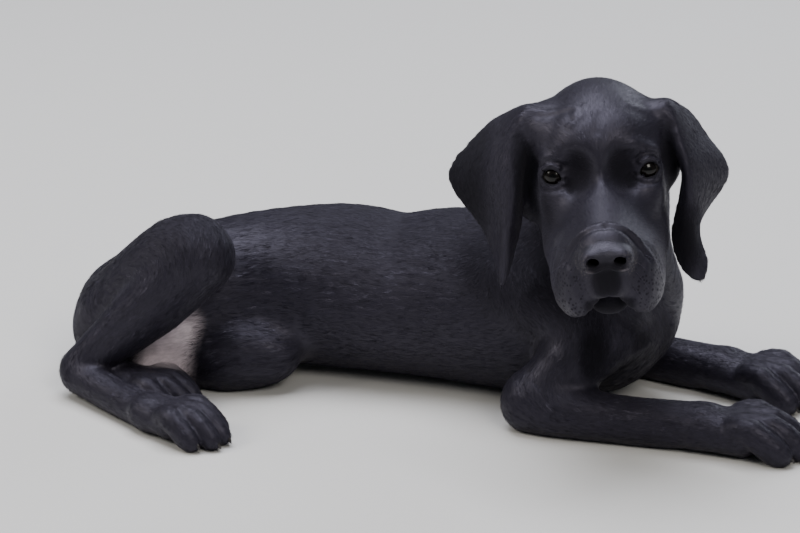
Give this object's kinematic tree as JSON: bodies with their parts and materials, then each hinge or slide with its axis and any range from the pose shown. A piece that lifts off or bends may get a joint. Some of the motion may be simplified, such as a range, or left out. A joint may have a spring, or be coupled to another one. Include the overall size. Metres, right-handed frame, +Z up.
{
  "type": "great dane puppy",
  "caption": "Life-size still model of a black great dane puppy lying down, hips rolled onto one haunch, forelegs stretched ahead and head turned to the side.",
  "frame": {"origin": "centre of the footprint box on the floor", "axes": "+X the puppy's forward along its body, +Y its left, +Z up"},
  "size_m": [0.5393, 0.3066, 0.2462],
  "materials": {
    "coat": "short sleek black coat",
    "nose": "moist black nose leather and lips",
    "claw": "dark horn",
    "whisker": "dark whiskers",
    "eye": "wet, very dark brown eye"
  },
  "bodies": {
    "root": {"head": "coat", "ear_left": "coat", "ear_right": "coat", "eye_left": "eye", "eye_right": "eye", "neck": "coat", "chest": "coat", "belly": "coat", "hips": "coat", "tail_base": "coat", "tail_tip": "coat", "foreleg_left_upper": "coat", "foreleg_left_lower": "coat", "foreleg_left_paw": "coat", "foreleg_right_upper": "coat", "foreleg_right_lower": "coat", "foreleg_right_paw": "coat", "hindleg_left_thigh": "coat", "hindleg_left_shank": "coat", "hindleg_left_foot": "coat", "hindleg_right_thigh": "coat", "hindleg_right_shank": "coat", "hindleg_right_foot": "coat"}
  },
  "joints": []
}
